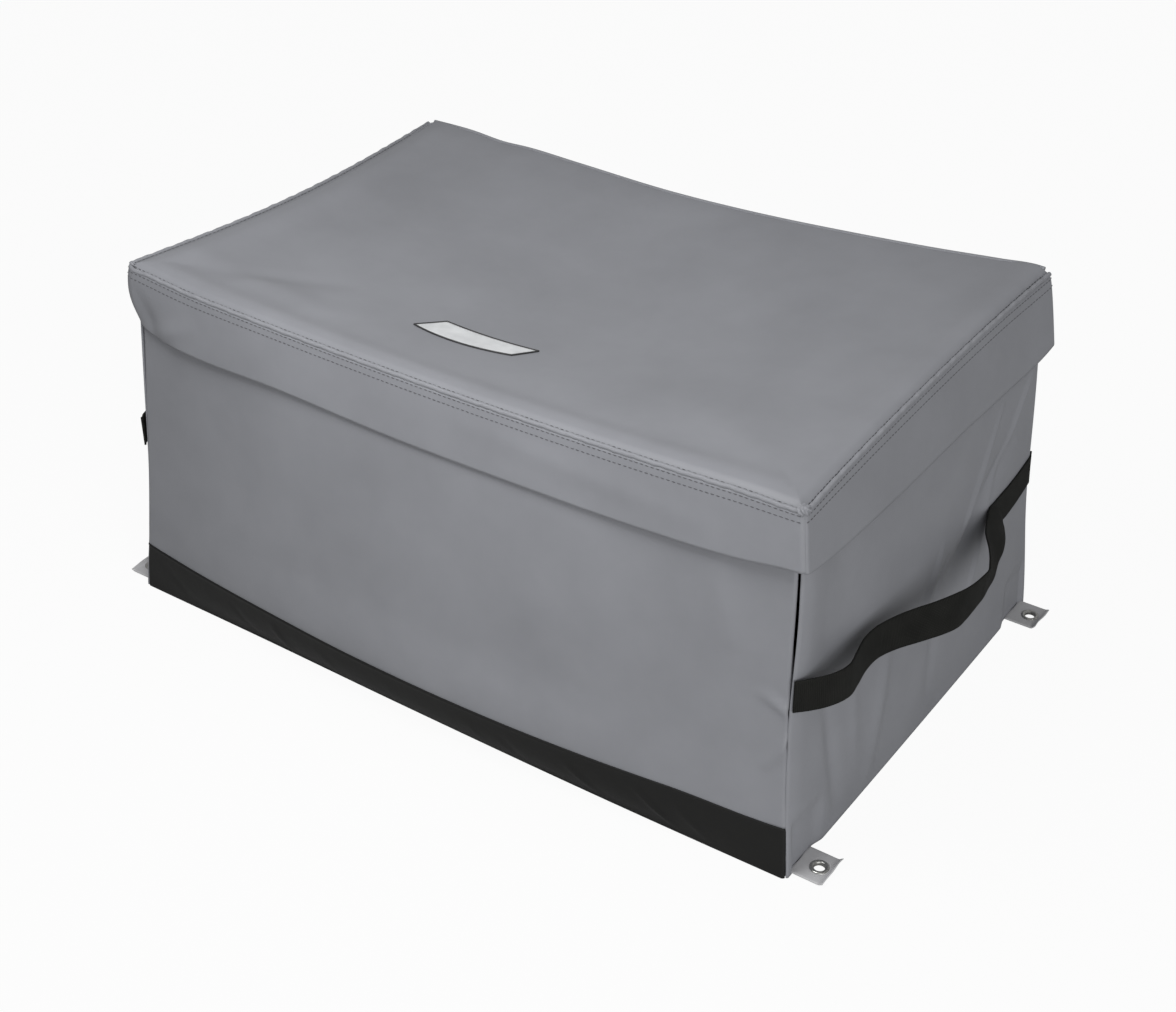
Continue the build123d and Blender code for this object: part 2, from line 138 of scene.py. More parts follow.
# Tube frame: straight drawn aluminium tubes, mill finish, pushed into sockets.
# The draw marks run along each tube; the posts stand up and the rails lie level.
corners = [f"{y}_{x}" for y in ("front", "back") for x in ("left", "right")]
for way, stretch, tubes in (("level", (8, 900, 900), ["front_rail", "back_rail"]),
                            ("across", (900, 8, 900), ["left_rail", "right_rail"]),
                            ("upright", (900, 900, 8), [f"{corner}_post" for corner in corners])):
    dress(tubes, flecked(f"tube_drawn_{way}", 1.0, (0.50, 0.51, 0.52), (0.72, 0.73, 0.74), detail=4.0,
                         stretch=stretch, bump=(0.0001, 0.5), roughness=0.46, metallic=1.0)[0])

# Corner blocks and foot sockets: injection-moulded black nylon with a fine
# spark-eroded grain, held by the tubes above and by round-headed screws below.
nylon_finish, nylon_shader = flecked("grained_black_nylon", 30.0, (0.018, 0.018, 0.019), (0.03, 0.03, 0.032),
                                     detail=3.0, roughness=0.48)
nylon_grain = pattern(nylon_finish, "Noise", "Object", Scale=1600.0, Detail=2.0)
relief(nylon_finish, nylon_shader, (nylon_grain, "Fac"), 0.00015, 0.5)
dress([f"{corner}_{part}" for corner in corners for part in ("block", "foot_socket")], nylon_finish)
dress(["socket_screws"], flecked("stainless_screw", 900.0, (0.48, 0.48, 0.47), (0.62, 0.62, 0.61),
                                 roughness=0.28, metallic=1.0)[0])

# Front and back walls: grey coated polyester, bulging from what the box holds,
# sewn to the end walls at the corners and to a black strip along the foot.
base_half_length = 0.457
base_half_width = 0.294
wall_height = 0.4369
top_inset = 0.024
cloth_thickness = 0.002
strip_height = 0.060
front_bulge = 0.039
front_bulge_line = ((0, 0.09), (0.06, 0.66), (0.14, 0.98), (0.35, 0.88), (0.6, 0.66), (0.81, 0.4), (1, 0.1))
wall_roll = 0.004
foot_kick = 0.0042
lid_half_length = 0.441
lid_half_width = 0.278


def drawn_through(line, at):
    """Smooth curve through measured (place, value) pairs."""
    places = np.array([pair[0] for pair in line], float)
    values = np.array([pair[1] for pair in line], float)
    slopes = np.gradient(values, places)
    at = np.clip(np.asarray(at, float), places[0], places[-1])
    left = np.clip(np.searchsorted(places, at, side="right") - 1, 0, len(places) - 2)
    span = places[left + 1] - places[left]
    t = (at - places[left]) / span
    return ((2 * t**3 - 3 * t**2 + 1) * values[left] + (t**3 - 2 * t**2 + t) * span * slopes[left]
            + (3 * t**2 - 2 * t**3) * values[left + 1] + (t**3 - t**2) * span * slopes[left + 1])


def eased(at, first, last):
    """0 before first, 1 after last, and a smooth rise between them."""
    t = np.clip((np.asarray(at, float) - first) / (last - first), 0, 1)
    return t * t * (3 - 2 * t)


def rolled_in(distance, radius):
    """How far a sheet curls back near an edge that it is this far from."""
    t = np.clip(1 - np.asarray(distance, float) / radius, 0, 0.98)
    return radius * (1 - np.sqrt(1 - t * t))


def ridge(across, along, start, end, height, width):
    """A soft fold along a line on a panel, fading at its ends; a negative height is a dent."""
    first, last = np.array(start), np.array(end)
    length = np.linalg.norm(last - first)
    way = (last - first) / length
    run = (across - first[0]) * way[0] + (along - first[1]) * way[1]
    aside = (along - first[1]) * way[0] - (across - first[0]) * way[1]
    fade = np.sin(np.pi * np.clip(run / length, 0, 1)) ** 0.7
    return height * fade * np.exp(-((aside / width) ** 2))


def even(count):
    """Places from 0 to 1, evenly spaced."""
    return np.linspace(0, 1, count)


def grown(count, crowd=0.9):
    """Places from 0 to 1, closer together towards both ends."""
    at = even(count + 1)
    return at - crowd * np.sin(2 * np.pi * at) / (2 * np.pi)


def folded(across, along, lines):
    """Several folds together, each a row of ridge's start, end, height and width."""
    return sum(ridge(across, along, *line) for line in lines)


def stand(name, data):
    """A new object in the scene."""
    piece = bpy.data.objects.new(name, data)
    bpy.context.scene.collection.objects.link(piece)
    return piece


def map_flat(mesh, places):
    """Lay the mesh out flat, by a place for each of its points."""
    layer = mesh.uv_layers.new(name="UVMap")
    point_of = np.zeros(len(mesh.loops), np.int32)
    mesh.loops.foreach_get("vertex_index", point_of)
    layer.data.foreach_set("uv", places[point_of].ravel())


def cut_cloth(name, place, across, along, size, material, thickness=cloth_thickness, turned=False):
    """Panel whose outer face is place(u, v) over the across and along places, thickened inward."""
    u, v = (grid.ravel() for grid in np.meshgrid(across, along))
    points = np.stack(place(u, v), axis=1)
    columns = len(across)
    faces = []
    for row in range(len(along) - 1):
        for column in range(columns - 1):
            corner = row * columns + column
            face = (corner, corner + 1, corner + columns + 1, corner + columns)
            faces.append(face[::-1] if turned else face)
    mesh = bpy.data.meshes.new(name)
    mesh.from_pydata(points.tolist(), [], faces)
    map_flat(mesh, np.stack([u * size[0], v * size[1]], axis=1))
    mesh.shade_smooth()
    mesh.materials.append(material)
    panel = stand(name, mesh)
    layer = panel.modifiers.new("thickness", "SOLIDIFY")
    layer.thickness = thickness
    layer.offset = -1
    layer.use_even_offset = True
    return panel


def wave_scale(pitch):
    """Scale at which a wave texture repeats every pitch metres."""
    return 0.31416 / pitch


def multiplied(finish, first, second):
    """Two colours multiplied."""
    blend = add_node(finish, "ShaderNodeMix", data_type="RGBA", blend_type="MULTIPLY")
    blend.inputs["Factor"].default_value = 1.0
    wire(finish, first, (blend, "A"), second, (blend, "B"))
    return blend, "Result"


def woven_finish(name, colour, pitch, roughness, mottle=0.07, depth=0.00012, crumple=0.0006, gloss=0.5):
    """Coated plain-weave cloth: threads by the cloth's own map, their low places painted a little darker as shade,
    soft clouds by its place.
    """
    cloth, shader = new_finish(name, roughness=roughness, gloss=gloss)
    weave = add_node(cloth, "ShaderNodeMath", operation="MULTIPLY")
    for number, way in enumerate(("X", "Y")):
        wave = pattern(cloth, "Wave", "UV", bands_direction=way, Scale=wave_scale(pitch))
        signed = add_node(cloth, "ShaderNodeMath", operation="SUBTRACT")
        signed.inputs[1].default_value = 0.5
        wire(cloth, (wave, "Fac"), (signed, 0), (signed, 0), (weave, number))
    cloud = pattern(cloth, "Noise", "Object", Scale=7.0, Detail=4.0, Roughness=0.6)
    rub = pattern(cloth, "Noise", "Object", Scale=34.0, Detail=3.0)
    dark, light = (tuple(part * (1 + sign * mottle) for part in colour) for sign in (-1, 1))
    # The weave's low places are painted 7% darker: painted shade between the threads, on top of the weave's pattern.
    thread_gap_painted_shade = tone(cloth, (weave, 0), (0.93, 0.93, 0.93), (1.0, 1.0, 1.0), 0.0, 0.2)
    wire(cloth, multiplied(cloth, tone(cloth, (cloud, "Fac"), dark, light), thread_gap_painted_shade), (shader, "Base Color"))
    relief(cloth, shader, (rub, "Fac"), crumple, 0.6)
    relief(cloth, shader, (weave, 0), depth, 0.5)
    return cloth


grey_cloth = woven_finish("grey_coated_cloth", (0.222, 0.227, 0.246), 0.0011, 0.50)
black_cloth = woven_finish("black_coated_cloth", (0.0140, 0.0140, 0.0135), 0.0011, 0.50, crumple=0.0012, gloss=0.12)


def inset_at(height):
    """How far the walls lean in at a height, with a small kick outward at the foot."""
    return top_inset * height / wall_height - foot_kick * (1 - eased(height, 0.0, 0.20))


def lid_seam_front(x):
    """Height of the lid's front seam, with its two raised corners."""
    lift = 0.004 * eased(-x, 0.33, 0.43) - 0.003 * eased(x, 0.36, 0.44)
    height, dip = 0.4385, 0.013
    return height - dip * (1 - (x / lid_half_length) ** 2) + lift


back_seam_line = ((-0.446, 0.4300), (-0.37, 0.4302), (-0.318, 0.4266), (-0.282, 0.4278), (-0.2, 0.4255),
                  (-0.06, 0.4215), (0.06, 0.4245), (0.2, 0.4335), (0.3, 0.4420), (0.38, 0.4505),
                  (0.425, 0.4550), (0.446, 0.4535))


def lid_seam_back(x):
    """Height of the lid's back seam, where it is sewn to the back band."""
    return drawn_through(back_seam_line, x)


foot_spread, lid_spread = 0.0010, 0.0070
least_slit, foot_slit = 0.0002, 0.0024


def corner_spread(height):
    """How far the end walls' loose front edges lean out, most of all under the lid."""
    under_lid = eased(height, 0.16, 0.33) * (1 - 0.5 * eased(height, 0.37, 0.42))
    return foot_spread * eased(height, 0.02, 0.10) + lid_spread * under_lid


def front_slit(height, x_share):
    """How far the front wall's ends stand in from the end walls; the right one leans out at its top."""
    lean = np.where(x_share > 0, -0.0032, 0.0030)
    return least_slit + foot_slit * eased(height, 0.02, 0.10) + lean * eased(height, 0.22, 0.36)


seam_gap = 0.0026
most_foot_turn = 0.0020
foot_turn_line = ((-1, -0.3), (-0.6, -1), (-0.1, 0), (0.5, 1), (1, 0.9))


def front_face(x_share, height, lift=0.0, slit=0.0):
    """Outer face of the front or back wall: shares of its run, heights, and a lift off the cloth."""
    run = base_half_length - inset_at(height) - seam_gap - slit
    x = x_share * run
    bow = front_bulge * drawn_through(front_bulge_line, height / wall_height)
    foot_turn = most_foot_turn * drawn_through(foot_turn_line, x_share) * (1 - eased(height, 0.0, 0.12))
    out = base_half_width - inset_at(height) + bow * (1 - x_share**2) + foot_turn + lift
    return x, out - 0.8 * rolled_in(run - np.abs(x), wall_roll)


front_fold_lines = (
    # soft handling folds: start, end, height and width of each
    ((0.345, 0.36), (0.375, 0.25), 0.0022, 0.016), ((-0.33, 0.12), (-0.05, 0.24), 0.0012, 0.040),
    ((0.41, 0.222), (0.466, 0.180), 0.0022, 0.006), ((0.42, 0.125), (0.465, 0.195), 0.0030, 0.007),
    ((0.40, 0.215), (0.455, 0.200), 0.0016, 0.004), ((-0.43, 0.07), (-0.30, 0.30), -0.0018, 0.035),
    ((-0.10, 0.09), (0.25, 0.16), -0.0012, 0.035))
back_fold_lines = (((-0.35, 0.10), (0.05, 0.28), 0.0015, 0.04), ((0.1, 0.3), (0.38, 0.12), -0.0015, 0.035))
wall_top_half = 0.434


def long_wall_place(side):
    """Places on the front wall, side 1, or on the back wall, side -1."""
    seam, gap, lines = lid_seam_back, 0.0048, back_fold_lines
    if side > 0:
        seam, gap, lines = lid_seam_front, 0.0045, front_fold_lines

    def place(u, v):
        x_share = side * (2 * u - 1)
        top = seam(x_share * wall_top_half) - gap
        height = strip_height + (top - strip_height) * v
        x, out = front_face(x_share, height, slit=front_slit(height, x_share) if side > 0 else 0)
        return x, -side * (out + folded(x, height, lines)), height
    return place


wall_size = (2 * base_half_length, wall_height - strip_height)
for side, face, columns, rows in ((1, "front", 200, 71), (-1, "back", 160, 51)):
    wall = cut_cloth(f"{face}_wall_cloth", long_wall_place(side), grown(columns), even(rows), wall_size, grey_cloth)
    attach(wall, "tub")
    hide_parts(f"{face}_wall")

# End walls: the same grey cloth, flatter, with slack creases where the lifting
# handles pull at them. They run down to the dock with no black strip.
both_ends = ((1, "right"), (-1, "left"))
end_bulge = 0.010
front_roll_radius, back_roll_radius = 0.0022, 0.0054
front_foot_turn = 0.0042
back_corner_lift = 0.0058
end_bulge_line = ((0, 0.1), (0.14, 0.6), (0.35, 1), (0.6, 0.6), (0.81, 0.1), (1, -0.8))


def end_face(y_share, height, lift=0.0, lean=1.0):
    """Outer face of an end wall: shares of its run, heights, a lift, and the share of the corner's lean."""
    run = base_half_width - inset_at(height) - 0.0008
    y = y_share * run
    bow = end_bulge * drawn_through(end_bulge_line, height / wall_height)
    out = base_half_length - inset_at(height) + bow * (1 - y_share**2) + lift
    front_roll = rolled_in(run + y, front_roll_radius)
    front_roll = front_roll + front_foot_turn * np.clip(1 - (run + y) / 0.020, 0, 1) ** 2 * eased(height, 0, 0.08)
    back_roll = rolled_in(run - y, back_roll_radius)
    back_corner = back_corner_lift * eased(y_share, 0.6, 1.0) * eased(height, 0.10, 0.35)
    back_corner = back_corner * (1 - 0.9 * eased(height, 0.375, 0.415))
    front_corner = lean * eased(-y_share, 0.66, 0.96) * corner_spread(height)
    beside_tab = eased(np.abs(y), 0.222, 0.242) * (1 - eased(np.abs(y), 0.281, 0.289))
    beside_tab = beside_tab * (1 - eased(height, 0.048, 0.075))
    return y, out + back_corner + front_corner - foot_kick * beside_tab - front_roll - back_roll


end_fold_lines = (
    # creases above and below the handle, and the hollow behind it: start, end, height and width
    ((0.275, 0.365), (0.150, 0.205), 0.0042, 0.0042), ((0.190, 0.330), (0.060, 0.185), 0.0042, 0.0046),
    ((0.225, 0.270), (0.030, 0.165), -0.0085, 0.0160), ((0.040, 0.230), (-0.035, 0.150), 0.0046, 0.0050),
    ((0.055, 0.205), (0.010, 0.165), -0.0040, 0.0055), ((0.150, 0.205), (0.080, 0.090), 0.0036, 0.0055),
    ((0.020, 0.180), (0.010, 0.020), -0.0030, 0.0120), ((-0.090, 0.200), (-0.130, 0.010), 0.0034, 0.0120),
    ((-0.225, 0.205), (-0.195, 0.010), -0.0042, 0.0110), ((-0.170, 0.190), (-0.160, 0.060), 0.0022, 0.0100),
    ((-0.235, 0.330), (-0.215, 0.210), -0.0010, 0.0160))
curl_share = 0.03
curl_length = 0.0090
curl_radius = 0.0010
dock_gap = 0.0006
end_top, end_top_dip = 0.4325, 0.008
left_lean = 0.15


def end_wall_place(side):
    """Places on an end wall, its front edge curled in round the corner seam."""
    def place(u, v):
        y_share = np.clip(2 * (u - curl_share) / (1 - curl_share) - 1, -1, 1)
        top = end_top - end_top_dip * (1 - y_share**2)
        height = dock_gap + (top - dock_gap) * v
        y, out = end_face(y_share, height, lean=1.0 if side > 0 else left_lean)
        inward = np.clip(1 - u / curl_share, 0, 1) * curl_length
        bend = np.clip(inward / curl_radius, 0, np.pi / 2)
        y = y + curl_radius * (1 - np.cos(bend)) + np.clip(inward - curl_radius * np.pi / 2, 0, None)
        return side * (out - curl_radius * np.sin(bend) + folded(y, height, end_fold_lines)), y, height
    return place


end_size = (2 * base_half_width, wall_height)
for side, name in both_ends:
    wall = cut_cloth(f"{name}_wall_cloth", end_wall_place(side), grown(230), even(151), end_size, grey_cloth,
                     turned=side < 0)
    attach(wall, "tub")
    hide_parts(f"{name}_wall")

# Cloth floor under the base board: the same coated cloth, laid on the dock and
# sewn to the feet of the four walls.
floor_top = 0.0022


def floor_place(u, v):
    x = (2 * u - 1) * (end_face(2 * v - 1, 0 * u)[1] - cloth_thickness)
    y = (2 * v - 1) * (front_face(2 * u - 1, 0 * u)[1] - cloth_thickness)
    return x, y, np.full_like(x, floor_top)


floor_size = (2 * base_half_length, 2 * base_half_width)
floor_cloth = cut_cloth("floor_cloth", floor_place, even(41), even(21), floor_size, grey_cloth, thickness=0.0016)
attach(floor_cloth, "tub")
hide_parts("floor_panel")

# Black strips along the foot of the front and back walls: heavier coated cloth
# sewn over the edge, puckered into slanting wrinkles by its seam.
strip_overlap, strip_rise = 0.0042, 0.0055


def strip_puckers(x, height, seed):
    """Slanting tension wrinkles, drawn at random."""
    rng = np.random.default_rng(seed)
    lift = np.zeros_like(x)
    for start in np.linspace(-0.42, 0.40, 13):
        start = start + rng.uniform(-0.02, 0.02)
        lean = rng.uniform(0.03, 0.07)
        lift = lift + ridge(x, height, (start, 0.055), (start + lean, 0.004),
                            rng.uniform(-0.0016, 0.0022), rng.uniform(0.004, 0.008))
    return lift


def strip_place(side, seed):
    """Places on a strip, its top edge drawn up in the middle and at one end, and its wrinkles deepest midway up."""
    def place(u, v):
        x_share = side * (2 * u - 1)
        raised = eased(x_share, -1.0, -0.4) * (1 - 1.3 * eased(x_share, 0.7, 1.0))
        top = strip_height + strip_overlap + strip_rise * raised
        height = dock_gap + (top - dock_gap) * v
        x, out = front_face(x_share, height, 0.0006, front_slit(height, x_share) if side > 0 else 0)
        pucker = strip_puckers(x, height, seed) * np.sin(np.pi * np.clip(v, 0, 1)) ** 0.5
        edge = 0.0012 * eased(v, 0.93, 1.0)
        return x, -side * (out + pucker + edge), height
    return place


strip_size = (2 * base_half_length, strip_height)
for side, name in ((1, "front"), (-1, "back")):
    strip = cut_cloth(f"{name}_foot_strip", strip_place(side, 7 + side), grown(300, 0.7), even(25), strip_size,
                      black_cloth)
    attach(strip, "tub")
    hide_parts(f"{name}_base_strip")

# Corner seams: narrow rolled binding of the wall cloth, sewn up each corner from
# the dock to the lid and never quite straight.
welt_facets = 12


def tree_input(tree, name, kind, value=None):
    """A named input of a tree, and what a modifier calls it."""
    socket = tree.interface.new_socket(name=name, in_out="INPUT", socket_type=kind)
    if value is not None:
        socket.default_value = value
    return socket.identifier


def new_tree(name):
    """A node tree that takes a path, with its inputs and the path as a curve."""
    tree = bpy.data.node_groups.new(name, "GeometryNodeTree")
    tree_input(tree, "Path", "NodeSocketGeometry")
    tree.interface.new_socket(name="Geometry", in_out="OUTPUT", socket_type="NodeSocketGeometry")
    inputs, curve = add_node(tree, "NodeGroupInput"), add_node(tree, "GeometryNodeMeshToCurve")
    wire(tree, (inputs, "Path"), (curve, "Mesh"))
    return tree, inputs, curve


def end_tree(tree, inputs, shape, cloth):
    """End a tree with its shape, smooth and in the material of its named input."""
    smooth, painted = add_node(tree, "GeometryNodeSetShadeSmooth"), add_node(tree, "GeometryNodeSetMaterial")
    wire(tree, shape, (smooth, "Geometry"), (smooth, "Geometry"), (painted, "Geometry"),
         (inputs, cloth), (painted, "Material"),
         (painted, "Geometry"), (add_node(tree, "NodeGroupOutput"), "Geometry"))


def build_along(name, points, tree, values):
    """Run a node tree along a line and keep its result as a plain mesh."""
    path = bpy.data.meshes.new(name)
    path.from_pydata([tuple(point) for point in points], [(i, i + 1) for i in range(len(points) - 1)], [])
    line = stand(name, path)
    build = line.modifiers.new("build", "NODES")
    build.node_group = tree
    for socket, value in values.items():
        build[socket] = value
    graph = bpy.context.evaluated_depsgraph_get()
    made = bpy.data.meshes.new_from_object(line.evaluated_get(graph))
    line.modifiers.remove(build)
    line.data = made
    bpy.data.meshes.remove(path)
    made.name = name
    return line


piping_tree, piping_in, piping_curve = new_tree("piping_round_a_seam")
piping_radius = tree_input(piping_tree, "Piping Radius", "NodeSocketFloat", 0.003)
piping_facets = tree_input(piping_tree, "Facets", "NodeSocketInt", welt_facets)
piping_cloth = tree_input(piping_tree, "Cloth", "NodeSocketMaterial")
ring = add_node(piping_tree, "GeometryNodeCurvePrimitiveCircle")
swept = add_node(piping_tree, "GeometryNodeCurveToMesh", Fill_Caps=True)
wire(piping_tree, (piping_curve, "Curve"), (swept, "Curve"),
     (piping_in, "Facets"), (ring, "Resolution"),
     (piping_in, "Piping Radius"), (ring, "Radius"),
     (ring, "Curve"), (swept, "Profile Curve"))
end_tree(piping_tree, piping_in, (swept, "Mesh"), "Cloth")


def piping(name, points, radius, material):
    """Cloth rolled round a seam's line."""
    return build_along(name, points, piping_tree, {
        piping_radius: radius, piping_facets: welt_facets, piping_cloth: material})


# The piping is rolled from the wall cloth; its colour is set a little darker than the wall cloth's as painted shade,
# toning down the highlight along its rounded top.
shaded_piping_cloth = woven_finish("grey_piping_cloth_painted_shade", (0.215, 0.219, 0.236), 0.0009, 0.62, gloss=0.3)
corner_roll_radius = 0.0028
for corner in corners:
    y_side = -1 if corner.startswith("front") else 1
    x_side = -1 if corner.endswith("left") else 1
    height = np.linspace(0.001, 0.431, 90)
    sway = 0.0006 * np.sin(height * 31 + x_side) + 0.0005 * np.sin(height * 67 + y_side)
    in_from_end, in_from_face = (0.0100, 0.0095) if y_side < 0 else (0.0048, 0.0042)
    x = base_half_length - inset_at(height) - in_from_end + sway
    y = base_half_width - inset_at(height) - in_from_face + 0.5 * sway
    seam = piping(f"{corner}_corner_seam", np.stack([x_side * x, y_side * y, height], axis=1),
                  corner_roll_radius, shaded_piping_cloth)
    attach(seam, "tub")
    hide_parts(f"{corner}_welt")

# Hinge seam and back band: the lid is sewn to a piped seam along its back edge,
# and a cloth band carries the seam down onto the back wall.
lid_piping_radius = 0.0027
back_band_size = (0.876, 0.07)
band_hem, band_half_length, band_top_out = 0.3625, 0.4385, 0.2788

hinge_x = np.linspace(-lid_half_length + 0.008, lid_half_length - 0.008, 160)
hinge_seam = piping("hinge_piping", np.stack(
    [hinge_x, np.full_like(hinge_x, lid_half_width + 0.0004), lid_seam_back(hinge_x)], axis=1),
    lid_piping_radius, shaded_piping_cloth)
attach(hinge_seam, "tub")
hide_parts("hinge_welt")


def band_place(u, v):
    x_share = 1 - 2 * u
    top = lid_seam_back(x_share * lid_half_length) - 0.0036
    hem = band_hem + 0.004 * np.sin(x_share * 4)
    height = hem + (top - hem) * v
    x = x_share * (band_half_length - 0.012 * (1 - v))
    wall_out = front_face(x / (base_half_length - inset_at(height) - 0.001), height, 0.0026)[1]
    hang = band_top_out + (1 - v) * 0.002
    out = np.maximum(wall_out, hang * v + wall_out * (1 - v))
    return x, out, height


back_band = cut_cloth("back_band_cloth", band_place, grown(140, 0.6), even(17), back_band_size, grey_cloth)
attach(back_band, "tub")
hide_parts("back_band")

# Lid top: one panel of grey cloth that sags between its seams and is held up at
# the corners by the frame below it.
end_draw = {-1: 0.017, 1: 0.008}
front_draw = 0.002
corner_radius = {-1: 0.018, 1: 0.008}
lid_sag = 0.034
seam_tuck, seam_roll = 0.0032, 0.0030
lid_fold_lines = (((-0.40, -0.24), (-0.22, -0.12), -0.0026, 0.016), ((-0.42, -0.20), (-0.18, -0.20), 0.0026, 0.020),
                  ((0.42, -0.25), (0.18, -0.10), 0.0018, 0.030))


def by_side(pair, x):
    """Left or right value of a pair, by the sign of x."""
    return np.where(x < 0, pair[-1], pair[1])


def lid_edge(x_share, y_share):
    """Seam outline of the lid: place on the dock for shares of its half length and width."""
    x_half = lid_half_length - by_side(end_draw, x_share) * (1 - y_share**2)
    y_half = lid_half_width - front_draw * (1 - x_share**2) * (y_share < 0)
    return x_share * x_half, y_share * y_half


def lid_height(x, y):
    """Height of the lid cloth, seams included."""
    front, back = lid_seam_front(x), lid_seam_back(x)
    share = np.clip((y + lid_half_width) / (2 * lid_half_width), 0, 1)
    chord = front + (back - front) * share
    along = np.clip(1 - (x / lid_half_length) ** 2, 0, 1)
    across = np.clip(1 - (y / lid_half_width) ** 2, 0, 1)
    return chord - lid_sag * along**0.9 * across**1.5


def seam_round(x_share, y_share):
    """Pull the outline's corners in to a small radius."""
    x, y = lid_edge(x_share, y_share)
    radius = by_side(corner_radius, x)
    near_x = radius - (lid_half_length - np.abs(x))
    near_y = radius - (lid_half_width - np.abs(y))
    near = (near_x > 0) & (near_y > 0) & (y < 0)
    reach = np.hypot(np.clip(near_x, 0, None), np.clip(near_y, 0, None))
    square = np.maximum(np.clip(near_x, 0, None), np.clip(near_y, 0, None))
    pull = np.where(near & (reach > 0), square / np.maximum(reach, 1e-9), 1)
    x = np.where(near, np.sign(x) * (lid_half_length - radius + near_x * pull), x)
    y = np.where(near, np.sign(y) * (lid_half_width - radius + near_y * pull), y)
    return x, y


def lid_skin(x, y):
    """Height of the lid cloth's outer face: tucked under at the seam, rolled up beside it."""
    end = lid_half_length - by_side(end_draw, x) * (1 - (y / lid_half_width) ** 2) - np.abs(x)
    edge = np.minimum(end, y + lid_half_width)
    tuck = seam_tuck * (1 - eased(edge, 0.001, 0.014))
    roll = seam_roll * np.exp(-(((edge - 0.026) / 0.016) ** 2))
    return lid_height(x, y) + 0.0012 - tuck + roll + folded(x, y, lid_fold_lines)


def lid_place(u, v):
    end_share, front_share, back_share = 0.9925, 0.9885, 0.992
    x, y = seam_round((2 * u - 1) * end_share, -front_share + (front_share + back_share) * v)
    return x, y, lid_skin(x, y)


lid_size = (2 * lid_half_length, 2 * lid_half_width)
lid_top = cut_cloth("lid_top_cloth", lid_place, grown(200, 0.85), grown(130, 0.85), lid_size, grey_cloth)
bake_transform(lid_top)
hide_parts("lid_top")

# Piped seam round the front and both ends of the lid, tied off in a small knot
# at the front corners.


def seam_line():
    """The lid's seam from the back left corner round the front to the back right."""
    back = np.linspace(0.985, -1, 150)
    left = seam_round(np.full_like(back, -1.0), back)
    front = seam_round(grown(260, 0.8) * 2 - 1, np.full(261, -1.0))
    right = seam_round(np.full_like(back, 1.0), back[::-1])
    x = np.concatenate([left[0][:-1], front[0], right[0][1:]])
    y = np.concatenate([left[1][:-1], front[1], right[1][1:]])
    return x, y


seam_x, seam_y = seam_line()
seam_wander = 0.0003 * np.sin(seam_x * 410 + seam_y * 390) + 0.0003 * np.sin(seam_x * 173 - seam_y * 230 + 1)
seam_sink = 0.0012 + 0.0014 * eased(-seam_x, 0.395, 0.43)
seam_points = np.stack([seam_x, seam_y, lid_height(seam_x, seam_y) - seam_sink + seam_wander], axis=1)
lid_piping = piping("lid_piping", seam_points, lid_piping_radius, shaded_piping_cloth)
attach(lid_piping, "lid")
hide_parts("lid_welt")

# Skirts of the lid: cloth flaps hung from the front and end seams, flared a
# little by the walls behind them, hemmed and closed at the front corners.
front_hem_line = ((-0.460, 0.3740), (-0.425, 0.3660), (-0.36, 0.3600), (-0.22, 0.3610), (-0.04, 0.3560),
                  (0.11, 0.3560), (0.27, 0.3580), (0.38, 0.3640), (0.43, 0.3710), (0.460, 0.3730))
end_hem_line = ((-0.295, 0.3730), (-0.27, 0.3680), (-0.13, 0.3560), (0.05, 0.3550), (0.22, 0.3570),
                (0.262, 0.3640), (0.290, 0.3700))
half_turn = 1 - math.cos(math.radians(45))
corner_fold_lines = (((-0.445, 0.350), (-0.330, 0.400), 0.0045, 0.012),
                     ((-0.43, 0.43), (-0.39, 0.355), -0.0030, 0.012))
seam_drop = 0.0022
fold_pinch = 0.0008
front_skirt_bulge, end_skirt_bulge = 0.0092, {1: 0.0055, -1: 0.0165}
back_corner_flare = 0.0070
front_skirt_size = (0.9, 0.075)
end_skirt_size = (0.565, 0.078)


def corner_reach(left, fall):
    """How far a skirt stands out from the lid's seam: past its end, and past its front."""
    past_end = 0.0016 + 0.0085 * fall * (1 - left) + left * (0.0055 * np.sin(np.pi * fall) - 0.0045 * fall**2)
    past_front = 0.0018 + 0.0062 * fall**0.8 - 0.0095 * left * fall**2
    return past_end, past_front


def front_skirt_place(u, v):
    x_share, fall = 2 * u - 1, 1 - v
    edge_x, edge_y = lid_edge(x_share, np.full_like(x_share, -1.0))
    past_end = corner_reach(x_share < 0, fall)[0]
    past_front = corner_reach(eased(-x_share, 0.82, 1.0), fall)[1]
    radius = by_side(corner_radius, x_share)
    top = lid_seam_front(edge_x) - seam_drop
    hem = drawn_through(front_hem_line, x_share * 0.45)
    height = hem + (top - hem) * v
    far = lid_half_length + past_end
    reach = far - half_turn * radius
    x = x_share * reach
    out = -edge_y + past_front + front_skirt_bulge * (1 - x_share**2) * fall - rolled_in(far - np.abs(x), radius)
    out = out - fold_pinch * eased(np.abs(x), reach - 0.003, reach)
    out = out + folded(x, height, corner_fold_lines) * fall
    out = out + ridge(x, height, (0.02, 0.40), (0.36, 0.385), 0.0012, 0.012)
    return x, -out, height


